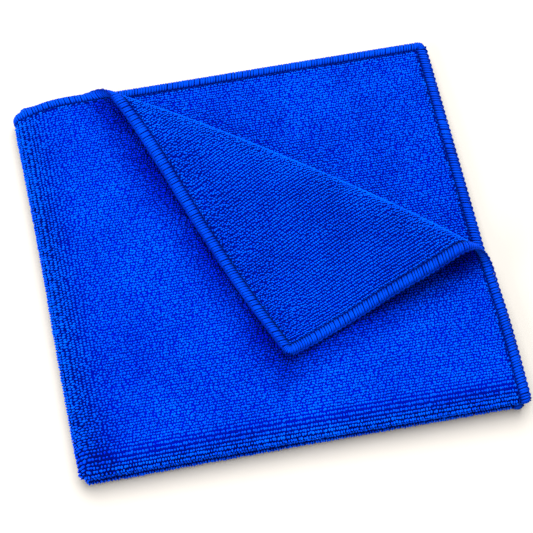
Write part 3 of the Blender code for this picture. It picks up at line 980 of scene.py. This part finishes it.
def overlock():
    """All four sides and corners. The last stitches of a side stop at the needle line."""
    made = []
    for side in SIDES:
        for strand in STRANDS:
            a, b, o = np.moveaxis(strands(side, *strand), -1, 0)
            made.append(np.stack([*edge_to_flat(side, a, b), o], -1))
    made.append(corner_strands())
    u, v, o = np.moveaxis(np.concatenate(made), -1, 0)
    points = fold(u, v, pressed(u, v, o))
    count, stations = len(points), 2 * len(STRAND_STATIONS) - 1
    faces = copies(tube_faces(len(LOBES), stations), count, points.shape[1])
    # painted shade: a strand is darker on its lower side and towards both its ends
    height = (LOBE_UP - LOBE_UP.min()) / np.ptp(LOBE_UP)
    tone = both_faces(STRAND_SHADE)[:, None] * height
    tone = np.concatenate([[0.0, 0.0], tone.ravel()])
    tone = tone * random.uniform(*STRAND_LIGHT, (count, 1))
    along = np.linspace(0.0, THREAD_UV[0], stations)[:, None] + 0 * height
    around = np.linspace(0.0, THREAD_UV[1], len(LOBES)) + 0 * along
    one_uv = np.concatenate([[[0, 0], [0, 0]], np.stack([along, around], -1).reshape(-1, 2)])
    uv = one_uv + random.uniform(0.0, 1.0, (count, 1, 2))
    print("strands:", count)
    points, uv = points.reshape(-1, 3), uv.reshape(-1, 2)
    return new_piece("overlock_threads", points, faces, tone.ravel(), uv)


threads = overlock()

# %% [markdown]
# The chain outside the strands is one long wavy thread for each side. It bulges out beside
# each stitch and dips to the edge between two of them. On the right and left edges it lies
# outside the rim, and on the two others it has rolled a little towards one face.


# %% The looper chain
CHAIN_RADIUS = 0.00046
CHAIN_RISE = 0.00018
CHAIN_STEPS = 5               # stations for each stitch
CHAIN_SHORT = 0.0015          # it ends this far from the corners
# painted shade: the chain is dark, at random between these tones
CHAIN_SHADE = (0.10, 0.35)
CHAINS = {
    # side: (out from the edge, wave, offset)
    "right": (0.00036, 0.00026, 0.0),
    "left": (0.00034, 0.00022, 0.0),
    "back": (0.00012, 0.00010, -0.00070),
    "front": (0.00012, 0.00010, 0.00080),
}


def chain(side):
    """A tube round b = -(out + wave cos s), offset = middle + rise sin s, one turn a stitch."""
    out, wave, middle = CHAINS[side]
    places = even_places(side, CHAIN_SHORT)[0]
    stations = CHAIN_STEPS * len(places)
    turns = np.arange(stations) / CHAIN_STEPS
    a = np.interp(turns, np.arange(len(places)) + 0.5, places)
    s = 2 * pi * turns - pi
    b = -(out + wave * np.cos(s))
    o = middle + CHAIN_RISE * np.sin(s)
    turn = 2 * pi * np.arange(RING_POINTS) / RING_POINTS
    ring_b = b[:, None] + CHAIN_RADIUS * np.cos(turn)
    ring_o = o[:, None] + CHAIN_RADIUS * np.sin(turn)
    a, b, o = np.moveaxis(tubes(a[None, :, None], ring_b[None], ring_o[None])[0], -1, 0)
    u, v = edge_to_flat(side, a, b)
    return fold(u, v, pressed(u, v, o)), stations


def chains():
    points, faces, before = [], [], 0
    for side in SIDES:
        made, stations = chain(side)
        points.append(made)
        faces.append([f + before for f in tube_faces(RING_POINTS, stations)])
        before += len(made)
    points = np.concatenate(points)
    faces = [np.concatenate(f) for f in zip(*faces)]
    tone = random.uniform(*CHAIN_SHADE, len(points))
    return new_piece("looper_chain", points, faces, tone, points[:, :2])


# %% The needle's thread
DASH_INSIDE = 0.0004          # it lies this far inside the needle line
DASH_STRAY = 0.00006
DASH_TURN_SPREAD = 0.06
DASH_SHARE = 0.8              # of a stitch is dash, the rest is hole
DASH_RISE = 0.00010
DASH_RADIUS = 0.00022
DASH_LIFT = 0.00078
DASH_TONES = (0.3, 0.7)


def needle_dashes():
    """Beans laid end to end in the groove inside the strands, on both faces."""
    made = []
    for side in SIDES:
        places, shrink = even_places(side, NEEDLE_LINE)
        places = places + STITCH_PITCH / 2 * shrink
        b = NEEDLE_LINE + DASH_INSIDE + random.normal(0, DASH_STRAY, len(places))
        u, v = edge_to_flat(side, places, b)
        along_edge = 0.0 if side in ("back", "front") else pi / 2
        yaw = along_edge + random.normal(0, DASH_TURN_SPREAD, len(places))
        made.append(np.stack([u, v, yaw, shrink], -1))
    u, v, yaw, shrink = np.concatenate(made).T
    count = len(u)
    sizes = (DASH_RISE, DASH_RADIUS, 0.0)
    shape = (STITCH_PITCH * DASH_SHARE * shrink, *(np.full(count, size) for size in sizes))
    tone = random.uniform(*DASH_TONES, count)
    return [lay(name, u, v, face, yaw, DASH_LIFT, shape, tone, rings=3)
            for name, face in (("needle_outer", 1), ("needle_inner", -1))]


sewing = [threads, chains(), *needle_dashes()]

# %% [markdown]
# ## Materials
# All pieces are one yarn, and their colours differ by painted shade: how deep a point lies in
# the pile. The tip of a loop is painted bright, and its foot a dark, pure blue, for the shade
# there, where the light that reaches it has gone through other fibres. Each piece carries that
# painted shade, with some painted highlight and some tone that differs at random, as `tone`, and
# one node group turns tone and a little noise into colour and a fibre bump. The group puts out
# only what varies over the surface; roughness, sheen and the like stay on each shader.


# %% Yarn group: tone and fibres
def set_inputs(node, values):
    for name, value in values.items():
        node.inputs[name].default_value = value


def wire(links, *runs):
    """Each run goes from an output of one node to an input of another."""
    for source, output, target, entry in runs:
        links.new(source.outputs[output], target.inputs[entry])


def yarn_group():
    group = bpy.data.node_groups.new("yarn", "ShaderNodeTree")
    for name in ("Deep", "Lit"):
        group.interface.new_socket(name, in_out="INPUT", socket_type="NodeSocketColor")
    for name in ("Tone", "Fibres per metre", "Along"):
        group.interface.new_socket(name, in_out="INPUT", socket_type="NodeSocketFloat")
    group.interface.new_socket("Color", in_out="OUTPUT", socket_type="NodeSocketColor")
    group.interface.new_socket("Fibres", in_out="OUTPUT", socket_type="NodeSocketFloat")
    nodes = group.nodes
    enter, leave = nodes.new("NodeGroupInput"), nodes.new("NodeGroupOutput")
    place = nodes.new("ShaderNodeTexCoord")
    # fine streaks along the thread, or specks where Along is 1
    squeeze = nodes.new("ShaderNodeCombineXYZ")
    set_inputs(squeeze, {"Y": 1.0, "Z": 1.0})
    scaled = nodes.new("ShaderNodeVectorMath")
    scaled.operation = "MULTIPLY"
    fibres = nodes.new("ShaderNodeTexNoise")
    set_inputs(fibres, {"Detail": 2.0})
    # slow patches where the pile leans another way
    patches = nodes.new("ShaderNodeTexNoise")
    set_inputs(patches, {"Scale": 42.0, "Detail": 3.0})
    # both noises, set to a small range round zero, are added to the tone
    both, total = nodes.new("ShaderNodeMath"), nodes.new("ShaderNodeMath")
    total.use_clamp = True
    for term, (noise, low, high) in enumerate(((patches, -0.20, 0.16), (fibres, -0.16, 0.16))):
        ranged = nodes.new("ShaderNodeMapRange")
        set_inputs(ranged, {"From Min": 0.3, "From Max": 0.7, "To Min": low, "To Max": high})
        wire(group.links, (noise, "Fac", ranged, "Value"), (ranged, "Result", both, term))
    mix = nodes.new("ShaderNodeMix")
    mix.data_type = "RGBA"
    wire(
        group.links,
        (enter, "Along", squeeze, "X"),
        (place, "UV", scaled, 0),
        (squeeze, "Vector", scaled, 1),
        (scaled, "Vector", fibres, "Vector"),
        (enter, "Fibres per metre", fibres, "Scale"),
        (place, "Object", patches, "Vector"),
        (both, "Value", total, 0),
        (enter, "Tone", total, 1),
        (total, "Value", mix, "Factor"),
        (enter, "Deep", mix, "A"),
        (enter, "Lit", mix, "B"),
        (mix, "Result", leave, "Color"),
        (fibres, "Fac", leave, "Fibres"),
    )
    return group


yarn = yarn_group()
print("yarn group:", len(yarn.nodes), "nodes")


# %% One material for each state of the yarn
def yarn_material(name, deep, lit, roughness, sheen, fibres, along, bump):
    material = bpy.data.materials.new(name)
    material.use_nodes = True
    nodes = material.node_tree.nodes
    shader = nodes["Principled BSDF"]
    set_inputs(shader, {
        "Roughness": roughness,
        "Specular IOR Level": 0.03,
        "Specular Tint": (0.0, 0.35, 1.0, 1.0),
        "Sheen Weight": sheen,
        "Sheen Roughness": 0.4,
        "Sheen Tint": (0.0, 0.38, 1.0, 1.0),
    })
    state = nodes.new("ShaderNodeGroup")
    state.node_tree = yarn
    colours = {"Deep": (*deep, 1.0), "Lit": (*lit, 1.0)}
    set_inputs(state, {**colours, "Fibres per metre": fibres, "Along": along})
    read = nodes.new("ShaderNodeAttribute")
    read.attribute_name = "tone"
    relief = nodes.new("ShaderNodeBump")
    set_inputs(relief, {"Strength": 0.6, "Distance": bump})
    wire(
        material.node_tree.links,
        (read, "Fac", state, "Tone"),
        (state, "Fibres", relief, "Height"),
        (relief, "Normal", shader, "Normal"),
        (state, "Color", shader, "Base Color"),
    )
    return material


# deep is each yarn's painted shade and lit its colour in full light; the ground's colours are
# painted shade between the loops, far darker than the loop yarn's
YARNS = (
    # name, deep, lit, roughness, sheen, fibres per metre, along, bump in metres, pieces
    ("knitted_ground", (0.0, 0.0005, 0.038), (0.0, 0.0012, 0.140), 0.95, 0.00, 900, 1.00,
     0.00015, [sheet]),
    ("loop_yarn", (0.0, 0.0008, 0.240), (0.0, 0.0560, 0.530), 0.90, 0.10, 1500, 1.00,
     0.00010, pile),
    ("sewing_thread", (0.0, 0.0006, 0.075), (0.0, 0.0250, 0.320), 0.65, 0.10, 3800, 0.12,
     0.00012, sewing),
)
for *finish, pieces in YARNS:
    material = yarn_material(*finish)
    for piece in pieces:
        piece.data.materials.append(material)
    print(material.name, "on", len(pieces), "pieces")

# %% [markdown]
# ## Floor and light
# The cloth lies on a pale, slightly warm surface that is lit until it is nearly white, so its
# warmth shows only in the soft shadow beside the cloth. The light is a large soft box
# overhead and a little behind, with a weaker one low on the left, in an even white room.

# %% Floor, room and soft boxes
FLOOR_SIZE = 6.0
FLOOR_DROP = 0.0003           # keeps the floor clear of the flat underside
floor_mesh = bpy.data.meshes.new("floor")
reach = FLOOR_SIZE / 2
corners = ((-reach, -reach), (reach, -reach), (reach, reach), (-reach, reach))
floor_mesh.from_pydata([(x, y, -FLOOR_DROP) for x, y in corners], [], [(0, 1, 2, 3)])
floor = bpy.data.objects.new("floor", floor_mesh)
bpy.context.scene.collection.objects.link(floor)
floor_finish = bpy.data.materials.new("pale_floor")
floor_finish.use_nodes = True
set_inputs(floor_finish.node_tree.nodes["Principled BSDF"], {
    "Base Color": (0.234, 0.222, 0.205, 1.0),
    "Roughness": 0.9,
    "Specular IOR Level": 0.0,
})
floor_mesh.materials.append(floor_finish)

ROOM_STRENGTH = 0.80
world = bpy.data.worlds.new("room")
world.use_nodes = True
white = (1.0, 1.0, 1.0, 1.0)
set_inputs(world.node_tree.nodes["Background"], {"Color": white, "Strength": ROOM_STRENGTH})
bpy.context.scene.world = world

SOFT_BOXES = {
    # name: (place, size, watts)
    "overhead": (Vector((0.08, 0.53, 1.30)), 1.6, 112.0),
    "left_fill": (Vector((-1.10, -0.45, 0.75)), 0.8, 36.0),
}
for name, (place, size, watts) in SOFT_BOXES.items():
    soft_box = bpy.data.objects.new(name, bpy.data.lights.new(name, "AREA"))
    soft_box.data.shape = "SQUARE"
    soft_box.data.size = size
    soft_box.data.energy = watts
    soft_box.location = place
    soft_box.rotation_euler = place.to_track_quat("Z", "Y").to_euler()
    bpy.context.scene.collection.objects.link(soft_box)
    print(name, watts, "W")
bpy.context.scene.view_settings.view_transform = "Standard"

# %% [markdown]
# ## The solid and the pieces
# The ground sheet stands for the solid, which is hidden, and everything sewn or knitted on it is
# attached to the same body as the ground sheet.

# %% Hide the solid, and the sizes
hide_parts("cloth")
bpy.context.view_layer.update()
print("triangles in all:", sum(triangle_counts))
assert max(triangle_counts) < 200_000 and sum(triangle_counts) < 1_000_000
